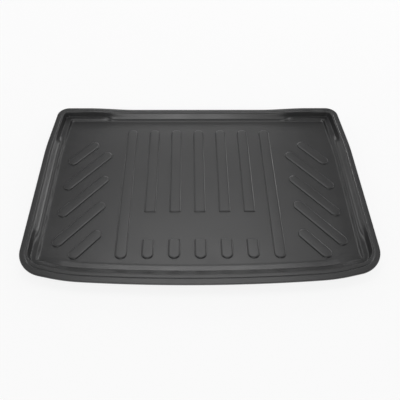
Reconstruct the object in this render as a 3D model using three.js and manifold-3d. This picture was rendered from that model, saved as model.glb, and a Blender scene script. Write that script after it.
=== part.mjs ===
// A car boot liner: one thin moulded sheet. It has a flat floor with raised pads,
// sloped sides and an outward lip with a turned-down edge, and it is mirrored about X = 0.
// Millimetres, +Z up. The origin is below the middle of the liner, on the surface it lies on.
// The load sill, where things are slid in, is at -Y, and the seat side is at +Y.
import * as THREE from "three";
import { mergeVertices } from "three/addons/utils/BufferGeometryUtils.js";
import Module from "manifold-3d";

// Overall sizes
const overallWidth = 1000;
const overallDepth = 714;
const rimHeight = 31;
const sheet = 3;

// Outline seen from above
const seatSideWidth = 972;
const seatCornerRadius = 39;
const sideTaperLength = 196;
const sideTaperReach = 35;
const sillCornerRadius = 85;
const sillShoulderWidth = 730;
const sillShoulderSlope = 13.5;
const sillShoulderReach = 43;
const sillBowSlope = 3.85;
const bowToShoulder = 12;
const tightestCorner = 8;

// Lip, the same all round but for its width
const lipEdgeDrop = 6;
const lipEdgeRound = 1.2;
const lipEdgeLean = 0.8;
const grooveDepth = 1.2;
const grooveWidth = 4;
const grooveToWall = 6;
const sillGrooveToWall = 11;
const lipShoulder = 1.5;
const seatLipWidth = 20;
const sideLipWidth = 21;
const sillLipWidth = 29;

// Walls: how far in from the outline each wall ends, and how wide its lead-in to the floor is.
// The lead-in runs down straight to its bend, a share of its width and height, and then flattens.
const seatWallFoot = 38;
const sideWallFoot = 48;
const sillWallFoot = 56;
const footCove = 3;
const footCoveRise = 1;
const sillCove = 26;
const sillCoveRise = 6.5;
const coveBend = 0.62;
const coveBendRise = 0.23;
const ledgeHeight = 8;
const ledgeRound = 1.5;
const stepRun = 4;

// How far in from the lip a wall's steep part goes: in a pocket, and on each side's sloped panel.
// A side panel ends on the ledge, and the other two cover it. The sill's one goes on down past two
// heights, at its foot and at the ledge's edge, so that it is one even slope.
const pocketWallRun = 6;
const seatPanelRun = 12;
const sidePanelRun = 13;
const sillPanelRun = 21;
const sillPanelFoot = 11.4;
const sillPanelEdge = 9.8;

// The seat side's rim dips between its corners
const seatRimDip = 7.5;
const dipStartsAt = 380;
const dipFullAt = 220;

// Where each wall changes from a corner pocket to a sloped panel
const seatPanelEnd = 330;
const sidePanelSeatGap = 122;
const sidePanelSillGap = 110;
const sillPanelEnd = 440;
const panelBlend = 38;

// Raised pads
const padWidth = 34;
const padHeight = 4;
const padEdgeRound = 2.4;
const squareEndRadius = 4;
const columnPitch = 75;
const columnCount = 7;
const padsToSill = 98.5;
const fullPadLength = 528;
const shortPadLength = 67;
const blankBandWidth = 100;
const slantAngle = 51;
const slantPitch = 107;
const slantCount = 5;
const slantInnerX = 302;
const slantFootGap = 27;
const slantFirstRise = 66;
const slantGroupLength = 469;

// Fineness of the round stretches
const seatCornerSteps = 5;
const sillCornerSteps = 8;
const gentleSteps = 3;
const bowSteps = 8;
const padEndSteps = 6;
const squareEndSteps = 2;
const blendSteps = 3;
const mergeDistance = 1e-4;

// The least cosine between a mitred point's direction and its faces, so that no mitre runs out far
const sharpestMitre = 0.6;

const seatY = overallDepth / 2;
const sillY = -overallDepth / 2;
const wallHeight = rimHeight - sheet;

const slopeOf = (degrees) => Math.tan(THREE.MathUtils.degToRad(degrees));

// The corners of the outline, anticlockwise from the right corner at the sill. A tight corner has
// a radius, and a gentle one a reach, which is how far its round stretch goes along each run.
// Each corner gives the side of the liner that the run after it is on.
function outlineCorners() {
  const shoulderX = sillShoulderWidth / 2;
  const bowReach = shoulderX - sillShoulderReach - bowToShoulder;
  const bowSlope = THREE.MathUtils.degToRad(sillBowSlope);
  const bowRadius = bowReach / Math.tan(bowSlope);
  const middleY = sillY - bowRadius * (1 / Math.cos(bowSlope) - 1);
  const shoulderY = middleY + shoulderX * slopeOf(sillBowSlope);
  const cornerX = overallWidth / 2;
  const cornerY = shoulderY + (cornerX - shoulderX) * slopeOf(sillShoulderSlope);
  const taperY = seatY - sideTaperLength;
  const seatCornerX = seatSideWidth / 2;
  const tight = (name, x, y, radius, steps) => ({ name, x, y, radius, steps });
  const gentle = (name, x, y, reach, steps) => ({ name, x, y, reach, steps });
  const sillCorner = tight("sill corner", cornerX, cornerY, sillCornerRadius, sillCornerSteps);
  const taper = gentle("taper", cornerX, taperY, sideTaperReach, gentleSteps);
  const seatCorner = tight("seat corner", seatCornerX, seatY, seatCornerRadius, seatCornerSteps);
  const shoulder = gentle("shoulder", shoulderX, shoulderY, sillShoulderReach, gentleSteps);
  const bow = gentle("bow", 0, middleY, bowReach, bowSteps);
  const onLeft = (corner, side) => ({ ...corner, x: -corner.x, side });
  return [
    { ...sillCorner, side: "side" },
    { ...taper, side: "side" },
    { ...seatCorner, side: "seat" },
    onLeft(seatCorner, "side"),
    onLeft(taper, "side"),
    onLeft(sillCorner, "sill"),
    onLeft(shoulder, "sill"),
    { ...bow, side: "sill" },
    { ...shoulder, side: "sill" },
  ];
}

const corners = outlineCorners();

// The runs between the corners, each with its direction and the side of the liner it is on.
const runs = corners.map((corner, i) => {
  const next = corners[(i + 1) % corners.length];
  const start = new THREE.Vector2(corner.x, corner.y);
  const along = new THREE.Vector2(next.x, next.y).sub(start);
  const length = along.length();
  along.normalize();
  const inward = new THREE.Vector2(-along.y, along.x);
  return { start, along, inward, length, side: corner.side, from: corner.name, to: next.name };
});

// The point of a run at a distance along it, moved inwards.
function pointOnRun(run, distance, inset) {
  return run.start.clone().addScaledVector(run.along, distance).addScaledVector(run.inward, inset);
}

// Where two neighbouring runs cross once each has moved inwards by its own inset.
function movedCorner(before, after, insetBefore, insetAfter) {
  const turn = before.along.cross(after.along);
  const a = pointOnRun(before, 0, insetBefore);
  const b = pointOnRun(after, 0, insetAfter);
  const reach = b.clone().sub(a).cross(after.along) / turn;
  return a.addScaledVector(before.along, reach);
}

// A round corner between two runs, as points from the first run to the second. Inside the lip
// it tightens twice as fast as it moves in, so that the floor's own corners are nearly square.
function cornerArc(corner, before, after, insets) {
  const insetBefore = insets[before.side];
  const insetAfter = insets[after.side];
  const turn = Math.asin(before.along.cross(after.along));
  const outerRadius = corner.radius ?? corner.reach / Math.tan(turn / 2);
  const inset = Math.max(insetBefore, insetAfter);
  const insideLip = Math.max(inset - sillLipWidth, 0);
  const radius = Math.max(outerRadius - inset - insideLip, tightestCorner);
  const peak = movedCorner(before, after, insetBefore, insetAfter);
  const start = peak.clone().addScaledVector(before.along, -radius * Math.tan(turn / 2));
  const centre = start.clone().addScaledVector(before.inward, radius);
  const points = [];
  for (let i = 0; i <= corner.steps; i++) {
    const angle = (turn * i) / corner.steps;
    points.push(start.clone().rotateAround(centre, angle));
  }
  return points;
}

// Distances along a run where a wall changes form, so that the mesh has points there.
function changeDistances(index) {
  const run = runs[index];
  const blend = Array.from({ length: blendSteps + 1 }, (_, i) => (panelBlend * i) / blendSteps);
  if (run.side === "seat") {
    const half = run.length / 2;
    const fromMiddle = [
      dipStartsAt,
      (dipStartsAt + seatPanelEnd) / 2,
      ...blend.map((b) => seatPanelEnd - b),
      (seatPanelEnd - panelBlend + dipFullAt) / 2,
      dipFullAt,
    ];
    return [...fromMiddle.map((x) => half - x), half, ...fromMiddle.map((x) => half + x).reverse()];
  }
  if (run.from === "seat corner") return [sidePanelSeatGap];
  if (run.to === "seat corner") return [run.length - sidePanelSeatGap];
  if (run.side === "side" && run.from === "sill corner") return blend.map((b) => sidePanelSillGap + b);
  if (run.side === "side") return blend.map((b) => run.length - sidePanelSillGap - b).reverse();
  return [];
}

// One closed loop round the liner at the given insets. Every loop has the same number of points.
function loopAt(insets) {
  const points = [];
  corners.forEach((corner, i) => {
    const before = runs[(i + runs.length - 1) % runs.length];
    const after = runs[i];
    points.push(...cornerArc(corner, before, after, insets));
    for (const distance of changeDistances(i)) {
      points.push(pointOnRun(after, distance, insets[after.side]));
    }
  });
  return points;
}

const outline = loopAt({ seat: 0, side: 0, sill: 0 });

// The side of the liner that each point of a loop belongs to.
const sides = corners.flatMap((corner, i) => {
  const after = runs[i].side;
  const before = runs[(i + runs.length - 1) % runs.length].side;
  const onArc = Array(corner.steps + 1).fill(before === after ? after : "corner");
  return [...onArc, ...changeDistances(i).map(() => after)];
});

// How much of the sloped panel there is at a point of a loop: 0 in a pocket, 1 on a panel.
function panelShare(i) {
  const x = Math.abs(outline[i].x);
  const y = outline[i].y;
  const within = (distance) => THREE.MathUtils.smoothstep(distance, 0, panelBlend);
  if (sides[i] === "seat") return within(seatPanelEnd - x);
  if (sides[i] === "sill") return within(sillPanelEnd - x);
  if (sides[i] === "side") {
    return within(seatY - sidePanelSeatGap - y) * within(y - corners[0].y - sidePanelSillGap);
  }
  return 0;
}

// How far the rim dips at a point of a loop.
function rimDip(i) {
  if (sides[i] !== "seat") return 0;
  const x = Math.abs(outline[i].x);
  return seatRimDip * (1 - THREE.MathUtils.smoothstep(x, dipFullAt, dipStartsAt));
}

const lipWidths = { seat: seatLipWidth, side: sideLipWidth, sill: sillLipWidth };
const wallFeet = { seat: seatWallFoot, side: sideWallFoot, sill: sillWallFoot };
const coves = { seat: footCove, side: footCove, sill: sillCove };
const coveRises = { seat: footCoveRise, side: footCoveRise, sill: sillCoveRise };
const panelRuns = { seat: seatPanelRun, side: sidePanelRun, sill: sillPanelRun };
const panelFootHeights = { seat: footCoveRise, side: ledgeHeight, sill: sillPanelFoot };
const panelEdgeHeights = { seat: footCoveRise, side: ledgeHeight, sill: sillPanelEdge };
const groovesToWall = { seat: grooveToWall, side: grooveToWall, sill: sillGrooveToWall };

// The section of one side's upper surface, from the turned-down edge to the floor.
// in: distance from the outline; up: height above the floor; tied: 1 where it follows the rim.
function upperSection(side, panel) {
  const lip = lipWidths[side];
  const foot = wallFeet[side];
  const cove = coves[side];
  const groove = lip - groovesToWall[side];
  const wallTop = { in: lip + lipShoulder, up: wallHeight - lipShoulder, tied: 1 };
  const wallLow = { in: lip + pocketWallRun, up: ledgeHeight + ledgeRound, tied: 0 };
  const ledge = { in: lip + pocketWallRun + ledgeRound, up: ledgeHeight, tied: 0 };
  const panelFoot = { in: lip + panelRuns[side], up: ledgeHeight, tied: 0 };
  const ledgeEdge = { in: foot - stepRun, up: ledgeHeight, tied: 0 };
  if (panel) {
    const footHeight = panelFootHeights[side];
    for (const point of [wallLow, ledge]) {
      const share = (point.in - wallTop.in) / (panelFoot.in - wallTop.in);
      point.up = THREE.MathUtils.lerp(wallTop.up, footHeight, share);
      point.tied = 1 - share;
    }
    panelFoot.up = footHeight;
    ledgeEdge.up = panelEdgeHeights[side];
  }
  return [
    { in: lipEdgeLean, up: wallHeight - lipEdgeDrop, tied: 1 },
    { in: 0, up: wallHeight - lipEdgeRound, tied: 1 },
    { in: lipEdgeRound, up: wallHeight, tied: 1 },
    { in: groove - grooveWidth / 2, up: wallHeight, tied: 1, fine: true },
    { in: groove, up: wallHeight - grooveDepth, tied: 1, fine: true },
    { in: groove + grooveWidth / 2, up: wallHeight, tied: 1, fine: true },
    { in: lip, up: wallHeight, tied: 1 },
    wallTop,
    wallLow,
    ledge,
    panelFoot,
    ledgeEdge,
    { in: foot, up: coveRises[side], tied: 0 },
    { in: foot + cove * coveBend, up: coveRises[side] * coveBendRise, tied: 0 },
    { in: foot + cove, up: 0, tied: 0 },
  ];
}

// The section of the lower surface: the upper one without its groove, one sheet further out.
function lowerSection(side, panel) {
  const upper = upperSection(side, panel).filter((point) => !point.fine);
  const lower = upper.map((point, i) => {
    const before = upper[Math.max(i - 1, 0)];
    const after = upper[Math.min(i + 1, upper.length - 1)];
    const normals = [];
    for (const [a, b] of [[before, point], [point, after]]) {
      if (a !== b) normals.push(new THREE.Vector2(b.up - a.up, a.in - b.in).normalize());
    }
    const mean = normals[0].clone().add(normals[normals.length - 1]).normalize();
    const reach = sheet / Math.max(mean.dot(normals[0]), sharpestMitre);
    return { in: point.in + mean.x * reach, up: point.up + mean.y * reach, tied: point.tied };
  });
  lower[0] = { in: lipEdgeLean + sheet, up: wallHeight - lipEdgeDrop, tied: 1 };
  lower[lower.length - 1].up = -sheet;
  return lower;
}

// The loops of one surface, from a section that is given as a function of side and form.
function surfaceLoops(section) {
  const forms = [false, true].map((panel) => ({
    seat: section("seat", panel),
    side: section("side", panel),
    sill: section("sill", panel),
  }));
  return forms[0].side.map((_, level) => {
    const [pocket, panel] = forms.map((form) => {
      const insets = { seat: form.seat[level].in, side: form.side[level].in, sill: form.sill[level].in };
      return loopAt(insets).map((point, i) => {
        const at = form[sides[i] === "corner" ? "side" : sides[i]][level];
        return new THREE.Vector3(point.x, point.y, sheet + at.up - rimDip(i) * at.tied);
      });
    });
    return pocket.map((point, i) => point.lerp(panel[i], panelShare(i)));
  });
}

// A closed body from loops that follow one another, closed by flat faces at both ends.
function bodyFromLoops(loops) {
  const count = loops[0].length;
  const positions = loops.flat().flatMap((point) => point.toArray());
  const index = [];
  for (let level = 0; level + 1 < loops.length; level++) {
    for (let i = 0; i < count; i++) {
      const j = (i + 1) % count;
      const a = level * count + i;
      const b = level * count + j;
      const c = a + count;
      const d = b + count;
      index.push(a, b, d, a, d, c);
    }
  }
  const flat = (loop) => loop.map((point) => new THREE.Vector2(point.x, point.y));
  const lastLevel = (loops.length - 1) * count;
  for (const [a, b, c] of THREE.ShapeUtils.triangulateShape(flat(loops[0]), [])) index.push(a, c, b);
  for (const [a, b, c] of THREE.ShapeUtils.triangulateShape(flat(loops[loops.length - 1]), [])) {
    index.push(lastLevel + a, lastLevel + b, lastLevel + c);
  }
  const geometry = new THREE.BufferGeometry();
  geometry.setAttribute("position", new THREE.Float32BufferAttribute(positions, 3));
  geometry.setIndex(index);
  return geometry;
}

// The plain liner, without its pads: up the lower surface, over the rim and down to the floor.
function shellGeometry() {
  const lower = surfaceLoops(lowerSection).reverse();
  const upper = surfaceLoops(upperSection);
  return bodyFromLoops([...lower, ...upper]);
}

// A pad seen from above, along +Y from its first end. An end is round or square.
function padShape(length, firstRound, lastRound, inset) {
  const half = padWidth / 2 - inset;
  const low = inset;
  const high = length - inset;
  const shape = new THREE.Shape();
  const firstRadius = firstRound ? half : squareEndRadius;
  const lastRadius = lastRound ? half : squareEndRadius;
  shape.moveTo(half, low + firstRadius);
  shape.lineTo(half, high - lastRadius);
  shape.absarc(half - lastRadius, high - lastRadius, lastRadius, 0, Math.PI / 2);
  if (!lastRound) shape.lineTo(lastRadius - half, high);
  shape.absarc(lastRadius - half, high - lastRadius, lastRadius, Math.PI / 2, Math.PI);
  shape.lineTo(-half, low + firstRadius);
  shape.absarc(firstRadius - half, low + firstRadius, firstRadius, Math.PI, 1.5 * Math.PI);
  if (!firstRound) shape.lineTo(half - firstRadius, low);
  shape.absarc(half - firstRadius, low + firstRadius, firstRadius, 1.5 * Math.PI, 2 * Math.PI);
  return shape;
}

// The straight pads: their distance from X = 0, their ends along Y, and which ends are round.
function straightPads() {
  const firstY = sillY + padsToSill;
  const middle = (columnCount - 1) / 2;
  const pads = [];
  for (let column = 0; column < columnCount; column++) {
    const x = (column - middle) * columnPitch;
    const outer = Math.abs(column - middle) === middle;
    if (outer) {
      pads.push({ x, y: firstY, length: fullPadLength, turn: 0, firstRound: true, lastRound: true });
      continue;
    }
    const innerStart = shortPadLength + blankBandWidth;
    const innerY = firstY + innerStart;
    const innerLength = fullPadLength - innerStart;
    pads.push({ x, y: firstY, length: shortPadLength, turn: 0, firstRound: true, lastRound: false });
    pads.push({ x, y: innerY, length: innerLength, turn: 0, firstRound: false, lastRound: true });
  }
  return pads;
}

// The slanted pads of both sides. Each runs from an inner line down to an outer line,
// cut short where it would pass the front or the back of the group.
function slantedPads() {
  const firstY = sillY + padsToSill;
  const round = padWidth / 2;
  const slope = slopeOf(slantAngle);
  const outerX = overallWidth / 2 - sideWallFoot - slantFootGap - round;
  const lowest = firstY + round;
  const highest = firstY + slantGroupLength - round;
  const pads = [];
  for (let i = 0; i < slantCount; i++) {
    const innerY = lowest + slantFirstRise + i * slantPitch;
    const top = Math.min(innerY, highest);
    const bottom = Math.max(innerY - (outerX - slantInnerX) * slope, lowest);
    const bottomX = slantInnerX + (innerY - bottom) / slope;
    const length = (top - bottom) / Math.sin(THREE.MathUtils.degToRad(slantAngle)) + padWidth;
    for (const side of [1, -1]) {
      const turn = side * THREE.MathUtils.degToRad(90 - slantAngle);
      const back = new THREE.Vector2(0, -round).rotateAround(new THREE.Vector2(), turn);
      const x = side * bottomX + back.x;
      pads.push({ x, y: bottom + back.y, length, turn, firstRound: true, lastRound: true });
    }
  }
  return pads;
}

// One pad's body, or with an inset the hollow below it, placed on the floor.
function padGeometry(pad, inset, low, high, round) {
  const shape = padShape(pad.length, pad.firstRound, pad.lastRound, inset + round);
  const outlinePoints = roundedPoints(shape);
  const geometry = new THREE.ExtrudeGeometry(new THREE.Shape(outlinePoints), {
    depth: high - low - 2 * round,
    bevelEnabled: round > 0,
    bevelThickness: round,
    bevelSize: round,
    bevelSegments: 1,
  });
  geometry.translate(0, 0, low + round);
  geometry.rotateZ(pad.turn);
  geometry.translate(pad.x, pad.y, 0);
  return geometry;
}

// The points of a pad's shape, with few steps on its small corners and more on its round ends.
function roundedPoints(shape) {
  const points = [];
  for (const curve of shape.curves) {
    const small = curve.isEllipseCurve && curve.xRadius <= squareEndRadius;
    const large = curve.isEllipseCurve && !small;
    const steps = small ? squareEndSteps : large ? padEndSteps / 2 : 1;
    points.push(...curve.getPoints(steps).slice(0, -1));
  }
  return points;
}

const wasm = await Module();
wasm.setup();

// A closed geometry as a solid that can be joined and cut.
function solidOf(geometry) {
  geometry.deleteAttribute("normal");
  geometry.deleteAttribute("uv");
  const merged = mergeVertices(geometry, mergeDistance);
  return new wasm.Manifold(
    new wasm.Mesh({
      numProp: 3,
      vertProperties: merged.attributes.position.array,
      triVerts: new Uint32Array(merged.index.array),
    }),
  );
}

// A solid as a geometry with flat-shaded faces.
function geometryOf(solid) {
  const mesh = solid.getMesh();
  const geometry = new THREE.BufferGeometry();
  geometry.setAttribute("position", new THREE.BufferAttribute(mesh.vertProperties, 3));
  geometry.setIndex(new THREE.BufferAttribute(mesh.triVerts, 1));
  geometry.computeVertexNormals();
  return geometry;
}

// The whole liner: the shell, with each pad raised above and hollow below.
function linerGeometry() {
  const padTop = sheet + padHeight;
  const rooted = sheet / 3;
  const below = -sheet;
  let liner = solidOf(shellGeometry());
  const pads = [...straightPads(), ...slantedPads()];
  for (const pad of pads) liner = liner.add(solidOf(padGeometry(pad, 0, rooted, padTop, padEdgeRound)));
  for (const pad of pads) liner = liner.subtract(solidOf(padGeometry(pad, sheet, below, padTop - sheet, 0)));
  return geometryOf(liner);
}

const darkGreyPlastic = new THREE.MeshStandardMaterial({ color: 0x35363a, roughness: 0.6, metalness: 0 });

const bootLiner = new THREE.Group();
const tray = new THREE.Mesh(linerGeometry(), darkGreyPlastic);
tray.name = "liner_tray";
bootLiner.add(tray);

export default bootLiner;
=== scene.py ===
"""The looks of a car boot liner: one moulded sheet of dark plastic, finely modelled, in a plain studio.

Metres, in the CAD part's frame: +X to the right, +Y from the load sill to the seats, +Z up.
"""

import math

import bpy
import numpy as np
from mathutils import Matrix, Vector, geometry, noise


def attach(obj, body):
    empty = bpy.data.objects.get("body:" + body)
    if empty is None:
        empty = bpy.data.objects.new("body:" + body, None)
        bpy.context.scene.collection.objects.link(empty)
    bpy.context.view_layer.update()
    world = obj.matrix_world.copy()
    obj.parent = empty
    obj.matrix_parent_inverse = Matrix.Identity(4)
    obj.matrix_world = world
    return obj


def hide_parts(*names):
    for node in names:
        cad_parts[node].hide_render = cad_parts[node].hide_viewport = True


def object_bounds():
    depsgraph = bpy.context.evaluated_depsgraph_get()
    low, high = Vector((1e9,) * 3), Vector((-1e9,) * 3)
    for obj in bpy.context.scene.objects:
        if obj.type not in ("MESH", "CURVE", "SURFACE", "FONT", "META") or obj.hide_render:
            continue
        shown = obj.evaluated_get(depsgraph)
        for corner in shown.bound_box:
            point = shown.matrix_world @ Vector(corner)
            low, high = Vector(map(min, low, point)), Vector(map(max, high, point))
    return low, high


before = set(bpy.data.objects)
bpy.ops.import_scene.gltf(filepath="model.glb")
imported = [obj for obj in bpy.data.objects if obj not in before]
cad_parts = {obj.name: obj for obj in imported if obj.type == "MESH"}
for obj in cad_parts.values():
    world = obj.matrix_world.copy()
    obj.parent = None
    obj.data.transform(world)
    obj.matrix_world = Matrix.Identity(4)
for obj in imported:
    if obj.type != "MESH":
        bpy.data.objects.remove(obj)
cad_low, cad_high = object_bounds()

# Overall sizes, as the CAD part has them
WIDTH = cad_high.x - cad_low.x
DEPTH = 0.714
RIM_HEIGHT = cad_high.z
SHEET = 0.003
WALL_HEIGHT = RIM_HEIGHT - SHEET
SEAT_Y = DEPTH / 2
SILL_Y = -DEPTH / 2

# Outline seen from above
SEAT_SIDE_WIDTH = 0.972
SEAT_CORNER_RADIUS = 0.039
SIDE_TAPER_LENGTH = 0.196
SIDE_TAPER_REACH = 0.035
SILL_CORNER_RADIUS = 0.085
SILL_SHOULDER_WIDTH = 0.730
SILL_SHOULDER_SLOPE = math.radians(13.5)
SILL_SHOULDER_REACH = 0.043
SILL_BOW_SLOPE = math.radians(3.85)
BOW_TO_SHOULDER = 0.012
TIGHTEST_CORNER = 0.008

# Lip
LIP_WIDTH = {"seat": 0.020, "side": 0.021, "sill": 0.029}
LIP_EDGE_DROP = 0.006
LIP_EDGE_ROUND = 0.0016
LIP_EDGE_LEAN = 0.0008
GROOVE_DEPTH = 0.0012
GROOVE_WIDTH = 0.004
GROOVE_ROUND = 0.001
GROOVE_TO_WALL = {"seat": 0.006, "side": 0.006, "sill": 0.011}
LIP_SHOULDER = 0.00075
SHOULDER_ROUND = 0.002
PANEL_SHOULDER_ROUND = 0.004

# Walls
WALL_FOOT = {"seat": 0.038, "side": 0.048, "sill": 0.056}
FOOT_COVE = {"seat": 0.003, "side": 0.003, "sill": 0.026}
COVE_RISE = {"seat": 0.001, "side": 0.001, "sill": 0.0065}
COVE_BEND = 0.62
COVE_BEND_RISE = 0.23
LEDGE_HEIGHT = 0.008
LEDGE_ROUND = 0.0015
STEP_RUN = 0.004

# How far in from the lip a wall's steep part goes, the height of its foot and how round it is,
# and the height above the ledge's edge
POCKET_WALL_RUN = 0.006
POCKET_FOOT_ROUND = 0.00225
PANEL_RUN = {"seat": 0.012, "side": 0.013, "sill": 0.021}
PANEL_FOOT_HEIGHT = {"seat": 0.001, "side": 0.008, "sill": 0.0114}
PANEL_FOOT_ROUND = {"seat": 0.007, "side": 0.002, "sill": 0.004}
PANEL_EDGE_HEIGHT = {"seat": 0.001, "side": 0.008, "sill": 0.0098}

# A sharp corner of the lower surface stands off by no more than the sheet's thickness over this
MITRE_LIMIT = 0.6

# The seat side's rim dips between its corners
SEAT_RIM_DIP = 0.0075
DIP_STARTS_AT = 0.380
DIP_FULL_AT = 0.220

# Where each wall changes from a corner pocket to a sloped panel
SEAT_PANEL_END = 0.330
SIDE_PANEL_SEAT_GAP = 0.122
SIDE_PANEL_SILL_GAP = 0.110
SILL_PANEL_END = 0.440
PANEL_BLEND = 0.038

# Raised pads
PAD_WIDTH = 0.034
PAD_HEIGHT = 0.004
PAD_CROWN_RUN = 0.0055
PAD_CROWN_RISE = 0.0028
PAD_CROWN_STEPS = 9
PAD_FOOT_ROUND = 0.0010
SQUARE_END_RADIUS = 0.004
SMALLEST_END_RADIUS = 0.0005
COLUMN_PITCH = 0.075
COLUMN_COUNT = 7
PADS_TO_SILL = 0.0985
FULL_PAD_LENGTH = 0.528
SHORT_PAD_LENGTH = 0.067
BLANK_BAND_WIDTH = 0.100
SLANT_ANGLE = math.radians(51)
SLANT_PITCH = 0.107
SLANT_COUNT = 5
SLANT_INNER_X = 0.302
SLANT_FOOT_GAP = 0.027
SLANT_FIRST_RISE = 0.066
SLANT_GROUP_LENGTH = 0.469

# The hollows below the pads
HOLLOW_FOOT_ROUND = 0.002
HOLLOW_TOP_ROUND = 0.001
HOLLOW_TOP_RUN = 0.003

# How finely the mesh is divided
CORNER_STEPS = 16
GENTLE_STEPS = 8
BOW_STEPS = 56
STATION_SPACING = 0.011
STATION_CORNER_GAP = 0.080
STATION_TAPER_GAP = 0.0455
ROUND_STEPS = 4
FLAT_STEP = 0.003
FLAT_SHARE = 0.96
COVE_STEPS = 6
PAD_END_STEPS = 20
PAD_SIDE_STEP = 0.016
FLOOR_GRID = 0.016
CUT_TOLERANCE = 1e-7
SHARP_ANGLE = math.radians(50)

# How far the floor's grid stays clear of its edge and of the pads, as shares of its spacing
EDGE_CLEARANCE = 0.6
PAD_CLEARANCE = 0.4

# The floor isn't quite flat: a slow swell of the moulded sheet, which fades out towards the walls
SWELL_HEIGHT = 0.0007
SWELL_SIZE = 0.16
SWELL_SLICE = 0.37
SWELL_MIDDLE = 0.5
SWELL_SIDE_FADE = 0.05
SWELL_FADE_START = 0.12
SWELL_FADE_END = 0.06


def smooth(value, start, end):
    """0 before start, 1 after end, with a smooth change between."""
    share = min(max((value - start) / (end - start), 0.0), 1.0)
    return share * share * (3 - 2 * share)


def turned(vector, angle):
    """A flat vector, turned anticlockwise."""
    c, s = math.cos(angle), math.sin(angle)
    return np.array([c * vector[0] - s * vector[1], s * vector[0] + c * vector[1]])


def outline_corners():
    """The outline's corners, anticlockwise from the right corner at the sill.

    Each one gives the side of the liner that the run after it is on.
    """
    shoulder_x = SILL_SHOULDER_WIDTH / 2
    bow_reach = shoulder_x - SILL_SHOULDER_REACH - BOW_TO_SHOULDER
    bow_radius = bow_reach / math.tan(SILL_BOW_SLOPE)
    middle_y = SILL_Y - bow_radius * (1 / math.cos(SILL_BOW_SLOPE) - 1)
    shoulder_y = middle_y + shoulder_x * math.tan(SILL_BOW_SLOPE)
    corner_y = shoulder_y + (WIDTH / 2 - shoulder_x) * math.tan(SILL_SHOULDER_SLOPE)
    sill = {"name": "sill corner", "x": WIDTH / 2, "y": corner_y, "radius": SILL_CORNER_RADIUS}
    taper = {"name": "taper", "x": WIDTH / 2, "y": SEAT_Y - SIDE_TAPER_LENGTH, "reach": SIDE_TAPER_REACH}
    seat = {"name": "seat corner", "x": SEAT_SIDE_WIDTH / 2, "y": SEAT_Y, "radius": SEAT_CORNER_RADIUS}
    shoulder = {"name": "shoulder", "x": shoulder_x, "y": shoulder_y, "reach": SILL_SHOULDER_REACH}
    bow = {"name": "bow", "x": 0.0, "y": middle_y, "reach": bow_reach, "steps": BOW_STEPS, "side": "sill"}
    for corner in (sill, seat):
        corner["steps"] = CORNER_STEPS
    for corner in (taper, shoulder):
        corner["steps"] = GENTLE_STEPS

    def on_left(corner, side):
        return {**corner, "x": -corner["x"], "side": side}

    right = [{**sill, "side": "side"}, {**taper, "side": "side"}, {**seat, "side": "seat"}]
    left = [on_left(seat, "side"), on_left(taper, "side"), on_left(sill, "sill"), on_left(shoulder, "sill")]
    return [*right, *left, bow, {**shoulder, "side": "sill"}]


CORNERS = outline_corners()


def outline_runs():
    """The straight runs between the corners."""
    runs = []
    for corner, following in zip(CORNERS, CORNERS[1:] + CORNERS[:1]):
        start = np.array([corner["x"], corner["y"]])
        along = np.array([following["x"], following["y"]]) - start
        length = float(np.linalg.norm(along))
        along /= length
        runs.append({
            "start": start,
            "along": along,
            "inward": np.array([-along[1], along[0]]),
            "length": length,
            "side": corner["side"],
            "from": corner["name"],
            "to": following["name"],
        })
    return runs


RUNS = outline_runs()


def point_on_run(run, distance, inset):
    return run["start"] + run["along"] * distance + run["inward"] * inset


def cross(a, b):
    return a[0] * b[1] - a[1] * b[0]


def corner_arc(corner, before, after, insets):
    """A round corner between two runs that have moved inwards, as points from the first to the second.

    Inside the lip it tightens twice as fast as it moves in, as the CAD part's corners do.
    """
    inset_before = insets[before["side"]]
    inset_after = insets[after["side"]]
    turn = math.asin(cross(before["along"], after["along"]))
    outer_radius = corner.get("radius") or corner["reach"] / math.tan(turn / 2)
    inset = max(inset_before, inset_after)
    inside_lip = max(inset - LIP_WIDTH["sill"], 0.0)
    radius = max(outer_radius - inset - inside_lip, TIGHTEST_CORNER)
    a = point_on_run(before, 0, inset_before)
    b = point_on_run(after, 0, inset_after)
    peak = a + before["along"] * (cross(b - a, after["along"]) / math.sin(turn))
    start = peak - before["along"] * (radius * math.tan(turn / 2))
    centre = start + before["inward"] * radius
    steps = corner["steps"]
    return [centre + turned(start - centre, turn * i / steps) for i in range(steps + 1)]


def run_distances(run):
    """Evenly spaced places along a straight run, clear of its tight corners."""
    gap_after = STATION_CORNER_GAP if "corner" in run["from"] else STATION_TAPER_GAP
    gap_before = STATION_CORNER_GAP if "corner" in run["to"] else STATION_TAPER_GAP
    if run["side"] == "sill":
        return []
    stretch = run["length"] - gap_after - gap_before
    count = max(int(stretch / STATION_SPACING), 1)
    return [gap_after + stretch * i / count for i in range(count + 1)]


DISTANCES = [run_distances(run) for run in RUNS]


def loop_at(insets):
    """One closed loop round the liner at the given insets. Every loop has as many points."""
    points = []
    for i, corner in enumerate(CORNERS):
        points += corner_arc(corner, RUNS[i - 1], RUNS[i], insets)
        points += [point_on_run(RUNS[i], d, insets[RUNS[i]["side"]]) for d in DISTANCES[i]]
    return np.array(points)


def loop_sides():
    """The side of the liner that each point of a loop belongs to."""
    sides = []
    for i, corner in enumerate(CORNERS):
        before, after = RUNS[i - 1]["side"], RUNS[i]["side"]
        sides += [after if before == after else "corner"] * (corner["steps"] + 1)
        sides += [after] * len(DISTANCES[i])
    return sides


OUTLINE = loop_at({"seat": 0.0, "side": 0.0, "sill": 0.0})
SIDES = loop_sides()


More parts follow.
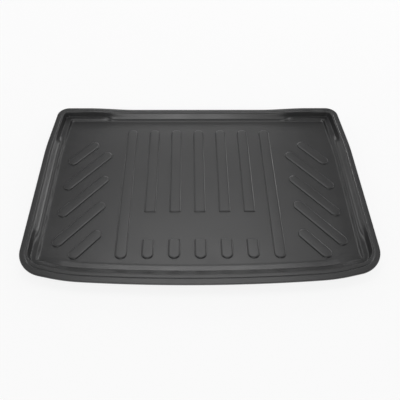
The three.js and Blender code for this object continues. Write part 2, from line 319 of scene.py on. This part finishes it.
def panel_share(i):
    """How much of the sloped panel there is at a point of a loop: 0 in a pocket, 1 on a panel."""
    x, y = abs(OUTLINE[i][0]), OUTLINE[i][1]
    if SIDES[i] == "seat":
        return smooth(SEAT_PANEL_END - x, 0, PANEL_BLEND)
    if SIDES[i] == "sill":
        return smooth(SILL_PANEL_END - x, 0, PANEL_BLEND)
    if SIDES[i] == "side":
        from_seat = smooth(SEAT_Y - SIDE_PANEL_SEAT_GAP - y, 0, PANEL_BLEND)
        from_sill = smooth(y - CORNERS[0]["y"] - SIDE_PANEL_SILL_GAP, 0, PANEL_BLEND)
        return from_seat * from_sill
    return 0.0


def rim_dip(i):
    """How far the rim dips at a point of a loop."""
    if SIDES[i] != "seat":
        return 0.0
    return SEAT_RIM_DIP * (1 - smooth(abs(OUTLINE[i][0]), DIP_FULL_AT, DIP_STARTS_AT))


PANEL_SHARES = np.array([panel_share(i) for i in range(len(OUTLINE))])
RIM_DIPS = np.array([rim_dip(i) for i in range(len(OUTLINE))])


def directions(points, k):
    """The directions from a section's corner to the points before and after it."""
    here = np.array(points[k][:2])
    back = np.array(points[k - 1][:2]) - here
    ahead = np.array(points[k + 1][:2]) - here
    return back / np.linalg.norm(back), ahead / np.linalg.norm(ahead)


def corner_reaches(points):
    """How far each corner's rounding goes along the two flats beside it, within their lengths."""
    reaches = [0.0] * len(points)
    for k in range(1, len(points) - 1):
        back, ahead = directions(points, k)
        half_angle = 0.5 * math.acos(float(np.clip(back @ ahead, -1, 1)))
        reaches[k] = points[k][3] / math.tan(half_angle)
    for k in range(len(points) - 1):
        room = FLAT_SHARE * math.dist(points[k][:2], points[k + 1][:2])
        wanted = reaches[k] + reaches[k + 1]
        if wanted > room:
            reaches[k] *= room / wanted
            reaches[k + 1] *= room / wanted
    return reaches


def rounded(points):
    """A section's corners, rounded.

    A point is (in, up, tied, radius), and tied is 1 where it follows the rim.
    """
    reaches = corner_reaches(points)
    made = []
    for k, (x, z, tied, radius) in enumerate(points):
        if radius == 0 or k in (0, len(points) - 1):
            made.append((x, z, tied))
            continue
        here = np.array([x, z])
        back, ahead = directions(points, k)
        start, end = here + back * reaches[k], here + ahead * reaches[k]
        for step in range(ROUND_STEPS + 1):
            t = step / ROUND_STEPS
            bend = start * (1 - t) ** 2 + here * 2 * t * (1 - t) + end * t ** 2
            made.append((bend[0], bend[1], tied))
    return made


def filled(points):
    """A section with more points on its long flat stretches."""
    made = [points[0]]
    for point in points[1:]:
        last = np.array(made[-1])
        gap = np.array(point) - last
        count = max(int(math.hypot(gap[0], gap[1]) / FLAT_STEP), 1)
        made += [tuple(last + gap * (i + 1) / count) for i in range(count)]
    return made


def key_section(side, panel, fine):
    """The corners of the upper surface's section, from the turned-down edge to the wall's foot."""
    lip, foot = LIP_WIDTH[side], WALL_FOOT[side]
    groove = lip - GROOVE_TO_WALL[side]
    rim = WALL_HEIGHT
    points = [
        (LIP_EDGE_LEAN, rim - LIP_EDGE_DROP, 1, 0),
        (0, rim, 1, LIP_EDGE_ROUND),
    ]
    if fine:
        points += [
            (groove - GROOVE_WIDTH / 2, rim, 1, GROOVE_ROUND),
            (groove, rim - GROOVE_DEPTH, 1, GROOVE_ROUND),
            (groove + GROOVE_WIDTH / 2, rim, 1, GROOVE_ROUND),
        ]
    wall_run = PANEL_RUN[side] if panel else POCKET_WALL_RUN
    low = PANEL_FOOT_HEIGHT[side] if panel else LEDGE_HEIGHT
    edge = PANEL_EDGE_HEIGHT[side] if panel else LEDGE_HEIGHT
    cove, cove_rise = FOOT_COVE[side], COVE_RISE[side]
    low_round = PANEL_FOOT_ROUND[side] if panel else POCKET_FOOT_ROUND
    points += [
        (lip + LIP_SHOULDER, rim, 1, PANEL_SHOULDER_ROUND if panel else SHOULDER_ROUND),
        (lip + wall_run, low, 0, low_round),
        (foot - STEP_RUN, edge, 0, LEDGE_ROUND),
        (foot, cove_rise, 0, LEDGE_ROUND),
        (foot + cove * COVE_BEND, cove_rise * COVE_BEND_RISE, 0, 0),
        (foot + cove, 0, 0, 0),
    ]
    return points


def upper_section(side):
    """The upper section in both forms, (in, up in a pocket, up on a panel, tied in each)."""
    pocket = filled(rounded(key_section(side, False, True)))
    panel = np.array(filled(rounded(key_section(side, True, True))))
    end = WALL_FOOT[side] + FOOT_COVE[side]
    cove_bend = WALL_FOOT[side] + FOOT_COVE[side] * COVE_BEND
    rows = []
    for x, z, tied in pocket:
        if x < LIP_WIDTH[side]:
            rows.append((x, z, z, tied, tied))
        else:
            order = np.argsort(panel[:, 0], kind="stable")
            up = float(np.interp(x, panel[order, 0], panel[order, 1]))
            hold = float(np.interp(x, panel[order, 0], panel[order, 2]))
            rows.append((x, z, up, tied, hold))
    rows = [row for row in rows if row[0] < cove_bend]
    # Past its bend the cove runs out to the floor as a parabola
    for step in range(COVE_STEPS + 1):
        x = cove_bend + (end - cove_bend) * step / COVE_STEPS
        up = COVE_RISE[side] * COVE_BEND_RISE * ((end - x) / (end - cove_bend)) ** 2
        rows.append((x, up, up, 0, 0))
    return rows


def lower_section(side, panel):
    """The lower surface's section: the upper one without its groove, one sheet further out."""
    upper = key_section(side, panel, False)
    lower = []
    for k, (x, z, tied, radius) in enumerate(upper):
        here = np.array([x, z])
        normals = []
        for a, b in ((upper[max(k - 1, 0)], here), (here, upper[min(k + 1, len(upper) - 1)])):
            step = np.array([b[0] - a[0], b[1] - a[1]])
            if np.linalg.norm(step) > 0:
                normals.append(np.array([step[1], -step[0]]) / np.linalg.norm(step))
        mean = normals[0] + normals[-1]
        mean /= np.linalg.norm(mean)
        reach = SHEET / max(float(mean @ normals[0]), MITRE_LIMIT)
        lower.append((x + mean[0] * reach, z + mean[1] * reach, tied, LEDGE_ROUND))
    lower[0] = (LIP_EDGE_LEAN + SHEET, WALL_HEIGHT - LIP_EDGE_DROP, 1, 0)
    lower[-1] = (lower[-1][0], -SHEET, 0, 0)
    return lower


def upper_loops():
    """The loops of the upper surface, from the turned-down edge to the floor."""
    sections = {side: upper_section(side) for side in LIP_WIDTH}
    most = max(len(rows) for rows in sections.values())
    even = {side: resampled(rows, most) for side, rows in sections.items()}
    return [blended_loop(even, level) for level in range(most)]


def resampled(rows, count):
    """A section's rows at a given count, by splitting its longest steps."""
    rows = [np.array(row, float) for row in rows]
    while len(rows) < count:
        gaps = [np.linalg.norm(b[:2] - a[:2]) for a, b in zip(rows, rows[1:])]
        k = int(np.argmax(gaps))
        rows.insert(k + 1, (rows[k] + rows[k + 1]) / 2)
    return rows


def blended_loop(sections, level):
    """One loop of the upper surface, between its two forms at each point."""
    rows = {side: sections[side][level] for side in sections}
    loop = loop_at({side: rows[side][0] for side in rows})
    heights = []
    for i, side in enumerate(SIDES):
        _, pocket, panel, tied_pocket, tied_panel = rows["side" if side == "corner" else side]
        share = PANEL_SHARES[i]
        tied = tied_pocket * (1 - share) + tied_panel * share
        heights.append(SHEET + pocket * (1 - share) + panel * share - RIM_DIPS[i] * tied)
    return np.column_stack([loop, heights])


def lower_loop(sections, level):
    """One loop of the lower surface, in one of its two forms."""
    rows = {side: sections[side][level] for side in sections}
    loop = loop_at({side: rows[side][0] for side in rows})
    heights = []
    for i, side in enumerate(SIDES):
        _, up, tied = rows["side" if side == "corner" else side]
        heights.append(SHEET + up - RIM_DIPS[i] * tied)
    return np.column_stack([loop, heights])


def lower_loops():
    """The loops of the lower surface, from the floor up to the turned-down edge."""
    pocket = {side: rounded(lower_section(side, False)) for side in LIP_WIDTH}
    panel = {side: rounded(lower_section(side, True)) for side in LIP_WIDTH}
    share = PANEL_SHARES[:, None]
    loops = []
    for level in range(len(pocket["side"])):
        loops.append(lower_loop(pocket, level) * (1 - share) + lower_loop(panel, level) * share)
    return loops[::-1]


def straight_pads():
    """The seven columns: (place of the first end, length, turn, first end round, last end round)."""
    first_y = SILL_Y + PADS_TO_SILL
    middle = (COLUMN_COUNT - 1) / 2
    pads = []
    for column in range(COLUMN_COUNT):
        x = (column - middle) * COLUMN_PITCH
        if abs(column - middle) == middle:
            pads.append(((x, first_y), FULL_PAD_LENGTH, 0.0, True, True))
            continue
        inner_start = SHORT_PAD_LENGTH + BLANK_BAND_WIDTH
        pads.append(((x, first_y), SHORT_PAD_LENGTH, 0.0, True, False))
        pads.append(((x, first_y + inner_start), FULL_PAD_LENGTH - inner_start, 0.0, False, True))
    return pads


def slanted_pads():
    """The five slanted pads of each side, cut short where they would pass the group's front or back."""
    half = PAD_WIDTH / 2
    slope = math.tan(SLANT_ANGLE)
    outer_x = WIDTH / 2 - WALL_FOOT["side"] - SLANT_FOOT_GAP - half
    lowest = SILL_Y + PADS_TO_SILL + half
    highest = SILL_Y + PADS_TO_SILL + SLANT_GROUP_LENGTH - half
    pads = []
    for i in range(SLANT_COUNT):
        inner_y = lowest + SLANT_FIRST_RISE + i * SLANT_PITCH
        top = min(inner_y, highest)
        bottom = max(inner_y - (outer_x - SLANT_INNER_X) * slope, lowest)
        bottom_x = SLANT_INNER_X + (inner_y - bottom) / slope
        length = (top - bottom) / math.sin(SLANT_ANGLE) + PAD_WIDTH
        for side in (1, -1):
            turn = side * (math.pi / 2 - SLANT_ANGLE)
            end = np.array([side * bottom_x, bottom]) + turned(np.array([0, -half]), turn)
            pads.append((tuple(end), length, turn, True, True))
    return pads


PADS = straight_pads() + slanted_pads()


def pad_outline(pad, inset):
    """A pad's outline from above: the right side from its first end, then the left side back."""
    place, length, turn, first_round, last_round = pad
    half = PAD_WIDTH / 2 - inset
    square = max(SQUARE_END_RADIUS - inset, SMALLEST_END_RADIUS)
    right = end_arc(half, inset, half if first_round else square)
    last = end_arc(half, inset, half if last_round else square)
    last = [(x, length - y) for x, y in reversed(last)]
    start_y, end_y = right[-1][1], last[0][1]
    count = max(int(length / PAD_SIDE_STEP), 2)
    right += [(half, start_y + (end_y - start_y) * i / count) for i in range(1, count)]
    right += last
    left = [(-x, y) for x, y in reversed(right)]
    points = np.array(right + left)
    c, s = math.cos(turn), math.sin(turn)
    spun = np.column_stack([c * points[:, 0] - s * points[:, 1], s * points[:, 0] + c * points[:, 1]])
    return spun + np.array(place)


def end_arc(half, inset, radius):
    """A quarter of a pad's end, from near its middle line out to its side."""
    points = []
    for i in range(1, PAD_END_STEPS + 1):
        angle = -math.pi / 2 + (math.pi / 2) * i / PAD_END_STEPS
        x = half - radius + radius * math.cos(angle)
        y = inset + radius + radius * math.sin(angle)
        points.append((x, y))
    return points


def pad_rings(pad):
    """A pad's loops: out of the floor by a small fillet, up its side and over its softly crowned edge."""
    crown_start = PAD_HEIGHT - PAD_CROWN_RISE
    wall = [(-PAD_FOOT_ROUND, 0, 0, 0), (0, 0, 0, PAD_FOOT_ROUND), (0, crown_start, 0, 0)]
    levels = [(inset, up) for inset, up, _ in rounded(wall)]
    for step in range(1, PAD_CROWN_STEPS + 1):
        angle = (math.pi / 2) * step / PAD_CROWN_STEPS
        inset = PAD_CROWN_RUN * (1 - math.cos(angle))
        levels.append((inset, crown_start + PAD_CROWN_RISE * math.sin(angle)))
    rings = []
    for inset, up in levels:
        outline = pad_outline(pad, inset)
        rings.append(np.column_stack([outline, np.full(len(outline), SHEET + up)]))
    return rings


def hollow_rings(pad):
    """The loops of the hollow below a pad, from the underside up."""
    wall = [(SHEET - HOLLOW_FOOT_ROUND, 0, 0, 0), (SHEET, 0, 0, HOLLOW_FOOT_ROUND)]
    wall += [(SHEET, PAD_HEIGHT, 0, HOLLOW_TOP_ROUND), (SHEET + HOLLOW_TOP_RUN, PAD_HEIGHT, 0, 0)]
    rings = []
    for inset, up, _ in rounded(wall):
        outline = pad_outline(pad, inset)
        rings.append(np.column_stack([outline, np.full(len(outline), up)]))
    return rings


class MeshParts:
    """Collects the points and faces of one mesh."""

    def __init__(self):
        self.points = []
        self.faces = []

    def add_loop(self, loop):
        start = len(self.points)
        self.points += [tuple(p) for p in loop]
        return list(range(start, start + len(loop)))

    def join_loops(self, first, second):
        for i in range(len(first)):
            j = (i + 1) % len(first)
            self.faces.append((first[i], first[j], second[j], second[i]))

    def close_pad(self, ring):
        """Closes a pad's top with faces across it."""
        half = len(ring) // 2
        right, left = ring[:half], ring[half:][::-1]
        for i in range(half - 1):
            self.faces.append((right[i], right[i + 1], left[i + 1], left[i]))

    def fill_floor(self, outer, holes, up, height, spacing):
        """Fills the flat floor between its outer loop and the pads, with points in between."""
        loops = [outer, *holes]
        flat = [Vector(self.points[k][:2]) for loop in loops for k in loop]
        owners = [k for loop in loops for k in loop]
        edges = []
        start = 0
        for loop in loops:
            edges += [(start + i, start + (i + 1) % len(loop)) for i in range(len(loop))]
            start += len(loop)
        outer_points = np.array([self.points[k][:2] for k in outer])
        holes_points = [np.array([self.points[k][:2] for k in hole]) for hole in holes]
        flat += [Vector(p) for p in floor_points(outer_points, spacing)]
        verts, _, faces, source, _, _ = geometry.delaunay_2d_cdt(flat, edges, [], 0, CUT_TOLERANCE)
        numbers = []
        for vert, origins in zip(verts, source):
            known = [o for o in origins if o < len(owners)]
            if known:
                numbers.append(owners[known[0]])
            else:
                numbers.append(len(self.points))
                self.points.append((vert.x, vert.y, height))
        for face in faces:
            middle = sum((np.array(verts[k]) for k in face), np.zeros(2)) / len(face)
            if not inside(outer_points, middle) or any(inside(hole, middle) for hole in holes_points):
                continue
            corners = [numbers[k] for k in face]
            a, b, c = (np.array(verts[k]) for k in face[:3])
            faces_up = cross(b - a, c - a) > 0
            self.faces.append(tuple(corners if faces_up == up else corners[::-1]))


def inside(polygon, point):
    """Whether a point is inside a polygon."""
    low, high = polygon.min(axis=0), polygon.max(axis=0)
    if (point < low).any() or (point > high).any():
        return False
    x, y = polygon[:, 0], polygon[:, 1]
    x2, y2 = np.roll(x, -1), np.roll(y, -1)
    spans = (y > point[1]) != (y2 > point[1])
    with np.errstate(divide="ignore", invalid="ignore"):
        at = x + (point[1] - y) * (x2 - x) / (y2 - y)
    return bool(np.count_nonzero(spans & (at > point[0])) % 2)


def floor_points(outer, spacing):
    """A staggered grid of points on the floor, clear of its edge and of every pad."""
    if spacing is None:
        return []
    clear = spacing * PAD_CLEARANCE
    rims = [pad_outline(pad, -clear) for pad in PADS]
    low = outer.min(axis=0) + spacing * EDGE_CLEARANCE
    high = outer.max(axis=0) - spacing * EDGE_CLEARANCE
    points = []
    rows = int((high[1] - low[1]) / spacing)
    for row in range(rows + 1):
        y = low[1] + (high[1] - low[1]) * row / rows
        shift = spacing / 2 if row % 2 else 0.0
        for x in np.arange(low[0] + shift, high[0], spacing):
            point = np.array([x, y])
            if inside(outer, point) and not any(inside(rim, point) for rim in rims):
                points.append(point)
    return points


def swell(x, y):
    """How far the moulded floor stands up from flat at a place."""
    wave = noise.noise(Vector((x / SWELL_SIZE, y / SWELL_SIZE, SWELL_SLICE)))
    side_foot = WIDTH / 2 - WALL_FOOT["side"]
    edge_x = smooth(abs(x), side_foot - SWELL_SIDE_FADE, side_foot)
    edge_y = smooth(abs(y), DEPTH / 2 - SWELL_FADE_START, DEPTH / 2 - SWELL_FADE_END)
    return SWELL_HEIGHT * (SWELL_MIDDLE + wave) * (1 - edge_x) * (1 - edge_y)


def add_pad(parts, pad):
    """One raised pad of the upper surface. Gives the loop at its foot."""
    rings = [parts.add_loop(ring) for ring in pad_rings(pad)]
    for first, second in zip(rings, rings[1:]):
        parts.join_loops(first, second)
    parts.close_pad(rings[-1])
    return rings[0]


def add_hollow(parts, pad):
    """The hollow below one pad, whose faces point down and inwards. Gives the loop at its mouth."""
    rings = [parts.add_loop(ring) for ring in hollow_rings(pad)]
    for first, second in zip(rings, rings[1:]):
        parts.join_loops(second, first)
    top = rings[-1]
    half = len(top) // 2
    parts.close_pad(top[half:][::-1] + top[:half][::-1])
    return rings[0]


def mesh_object(name, points, faces):
    """A new object in the scene, from its points and faces."""
    mesh = bpy.data.meshes.new(name)
    mesh.from_pydata(points, [], faces)
    made = bpy.data.objects.new(name, mesh)
    bpy.context.scene.collection.objects.link(made)
    return made


def build_liner():
    """The whole liner as one closed mesh."""
    parts = MeshParts()
    rim = [parts.add_loop(loop) for loop in lower_loops() + upper_loops()]
    for first, second in zip(rim, rim[1:]):
        parts.join_loops(first, second)
    feet = [add_pad(parts, pad) for pad in PADS]
    parts.fill_floor(rim[-1], feet, True, SHEET, FLOOR_GRID)
    rim_count = len(rim) * len(OUTLINE)
    for k in range(rim_count, len(parts.points)):
        x, y, z = parts.points[k]
        parts.points[k] = (x, y, z + swell(x, y))
    mouths = [add_hollow(parts, pad) for pad in PADS]
    parts.fill_floor(rim[0], mouths, False, 0.0, None)
    made = mesh_object("boot_liner", parts.points, parts.faces)
    made.data.validate()
    made.data.polygons.foreach_set("use_smooth", [True] * len(made.data.polygons))
    made.data.set_sharp_from_angle(angle=SHARP_ANGLE)
    return made


# Plastic
PLASTIC = (0.026, 0.026, 0.0265)
PLASTIC_ROUGHNESS = 0.315
PLASTIC_IOR = 1.5
SHADE_SPREAD = 0.07
ROUGHNESS_SPREAD = 0.03
GRAIN_SIZE = 0.0011
GRAIN_DETAIL = 2
GRAIN_HEIGHT = 0.00006
MOTTLE_SIZE = 0.07
MOTTLE_DETAIL = 3
MOTTLE_LOW = 0.3
MOTTLE_HIGH = 0.7


def plastic_material():
    """Dark grey moulded plastic: a fine grain, and a slow change of sheen over the sheet."""
    material = bpy.data.materials.new("liner_plastic")
    material.use_nodes = True
    nodes, links = material.node_tree.nodes, material.node_tree.links
    shader = nodes["Principled BSDF"]
    place = nodes.new("ShaderNodeTexCoord")

    def noise_node(size, detail):
        node = nodes.new("ShaderNodeTexNoise")
        node.inputs["Scale"].default_value = 1 / size
        node.inputs["Detail"].default_value = detail
        links.new(place.outputs["Object"], node.inputs["Vector"])
        return node

    mottle = noise_node(MOTTLE_SIZE, MOTTLE_DETAIL)
    grain = noise_node(GRAIN_SIZE, GRAIN_DETAIL)
    shade = nodes.new("ShaderNodeMix")
    shade.data_type = "RGBA"
    shade.inputs["A"].default_value = (*[c * (1 - SHADE_SPREAD) for c in PLASTIC], 1)
    shade.inputs["B"].default_value = (*[c * (1 + SHADE_SPREAD) for c in PLASTIC], 1)
    links.new(mottle.outputs["Fac"], shade.inputs["Factor"])
    links.new(shade.outputs["Result"], shader.inputs["Base Color"])
    rough = nodes.new("ShaderNodeMapRange")
    rough.inputs["From Min"].default_value = MOTTLE_LOW
    rough.inputs["From Max"].default_value = MOTTLE_HIGH
    rough.inputs["To Min"].default_value = PLASTIC_ROUGHNESS - ROUGHNESS_SPREAD
    rough.inputs["To Max"].default_value = PLASTIC_ROUGHNESS + ROUGHNESS_SPREAD
    links.new(mottle.outputs["Fac"], rough.inputs["Value"])
    links.new(rough.outputs["Result"], shader.inputs["Roughness"])
    bump = nodes.new("ShaderNodeBump")
    bump.inputs["Distance"].default_value = GRAIN_HEIGHT
    bump.inputs["Strength"].default_value = 1.0
    links.new(grain.outputs["Fac"], bump.inputs["Height"])
    links.new(bump.outputs["Normal"], shader.inputs["Normal"])
    shader.inputs["IOR"].default_value = PLASTIC_IOR
    return material


liner = build_liner()
liner.data.materials.append(plastic_material())
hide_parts("liner_tray")
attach(liner, "root")

# Studio
FLOOR_SIZE = 24.0
FLOOR_COLOUR = (0.80, 0.80, 0.80)
FLOOR_ROUGHNESS = 0.9
FLOOR_WHITE_SHARE = 0.85
WORLD_STRENGTH = 0.28
SOFTBOX_DISTANCE = 3.0


def seen_share(nodes, links, share):
    """A share for what the camera sees, straight, reflected or through glass, and none for other light."""
    path = nodes.new("ShaderNodeLightPath")
    seen = path.outputs["Is Camera Ray"]
    for ray in ("Is Glossy Ray", "Is Transmission Ray"):
        either = nodes.new("ShaderNodeMath")
        either.operation = "MAXIMUM"
        links.new(seen, either.inputs[0])
        links.new(path.outputs[ray], either.inputs[1])
        seen = either.outputs["Value"]
    scaled = nodes.new("ShaderNodeMath")
    scaled.operation = "MULTIPLY"
    links.new(seen, scaled.inputs[0])
    scaled.inputs[1].default_value = share
    return scaled.outputs["Value"]


def studio_floor():
    """A wide pale floor, which the camera sees as white where no shadow falls."""
    half = FLOOR_SIZE / 2
    corners = [(-half, -half, 0), (half, -half, 0), (half, half, 0), (-half, half, 0)]
    floor = mesh_object("floor", corners, [(0, 1, 2, 3)])
    material = bpy.data.materials.new("floor")
    material.use_nodes = True
    nodes, links = material.node_tree.nodes, material.node_tree.links
    shader = nodes["Principled BSDF"]
    shader.inputs["Base Color"].default_value = (*FLOOR_COLOUR, 1)
    shader.inputs["Roughness"].default_value = FLOOR_ROUGHNESS
    white = nodes.new("ShaderNodeEmission")
    white.inputs["Color"].default_value = (1, 1, 1, 1)
    white.inputs["Strength"].default_value = 1.0
    mixed = nodes.new("ShaderNodeMixShader")
    links.new(seen_share(nodes, links, FLOOR_WHITE_SHARE), mixed.inputs["Fac"])
    links.new(shader.outputs["BSDF"], mixed.inputs[1])
    links.new(white.outputs["Emission"], mixed.inputs[2])
    links.new(mixed.outputs["Shader"], nodes["Material Output"].inputs["Surface"])
    floor.data.materials.append(material)


def studio_world():
    """A faint even surround: the floor fills the camera's view."""
    world = bpy.data.worlds.new("surround")
    bpy.context.scene.world = world
    world.use_nodes = True
    background = world.node_tree.nodes["Background"]
    background.inputs["Color"].default_value = (1, 1, 1, 1)
    background.inputs["Strength"].default_value = WORLD_STRENGTH


def softbox(name, azimuth, elevation, width, height, power):
    """A soft light that faces the liner, in degrees, metres and watts.

    Azimuth 0 is behind the liner, and 90 is on its right.
    """
    data = bpy.data.lights.new(name, "AREA")
    data.shape = "RECTANGLE"
    data.size = width
    data.size_y = height
    data.energy = power
    lamp = bpy.data.objects.new(name, data)
    bpy.context.scene.collection.objects.link(lamp)
    turn, rise = math.radians(azimuth), math.radians(elevation)
    away = Vector((math.sin(turn) * math.cos(rise), math.cos(turn) * math.cos(rise), math.sin(rise)))
    lamp.location = away * SOFTBOX_DISTANCE
    lamp.rotation_euler = (-away).to_track_quat("-Z", "Y").to_euler()


studio_floor()
studio_world()
softbox("above", 0, 69, 2.0, 1.4, 21)
softbox("rear_high", 0, 48, 1.6, 1.2, 4)
softbox("rear", 0, 22, 1.7, 0.7, 15)
softbox("left_low", -50, 10, 1.1, 1.1, 9)
softbox("right_low", 50, 10, 1.1, 1.1, 19)
softbox("left_side", -80, 30, 1.4, 1.4, 12)
softbox("right_side", 80, 30, 1.4, 1.4, 13)
softbox("front", -177, 30, 1.3, 1.3, 27)

# Camera: where the photograph was taken from, found from the pads' edges
CAMERA_PLACE = (-0.0282, -1.0483, 1.2006)
CAMERA_DOWN = math.radians(50.0)
CAMERA_YAW = math.radians(-1.667)
CAMERA_ROLL = math.radians(1.055)
CAMERA_LENS = 45.85
SENSOR = 36.0


def studio_camera():
    """A camera where the photograph was taken from."""
    data = bpy.data.cameras.new("camera")
    data.lens = CAMERA_LENS
    data.sensor_width = SENSOR
    camera = bpy.data.objects.new("camera", data)
    bpy.context.scene.collection.objects.link(camera)
    yaw = Matrix.Rotation(CAMERA_YAW, 4, "Z")
    tilt = Matrix.Rotation(math.pi / 2 - CAMERA_DOWN, 4, "X")
    roll = Matrix.Rotation(CAMERA_ROLL, 4, "Z")
    camera.matrix_world = Matrix.Translation(CAMERA_PLACE) @ yaw @ tilt @ roll
    bpy.context.scene.camera = camera


studio_camera()
bpy.context.scene.view_settings.view_transform = "Standard"
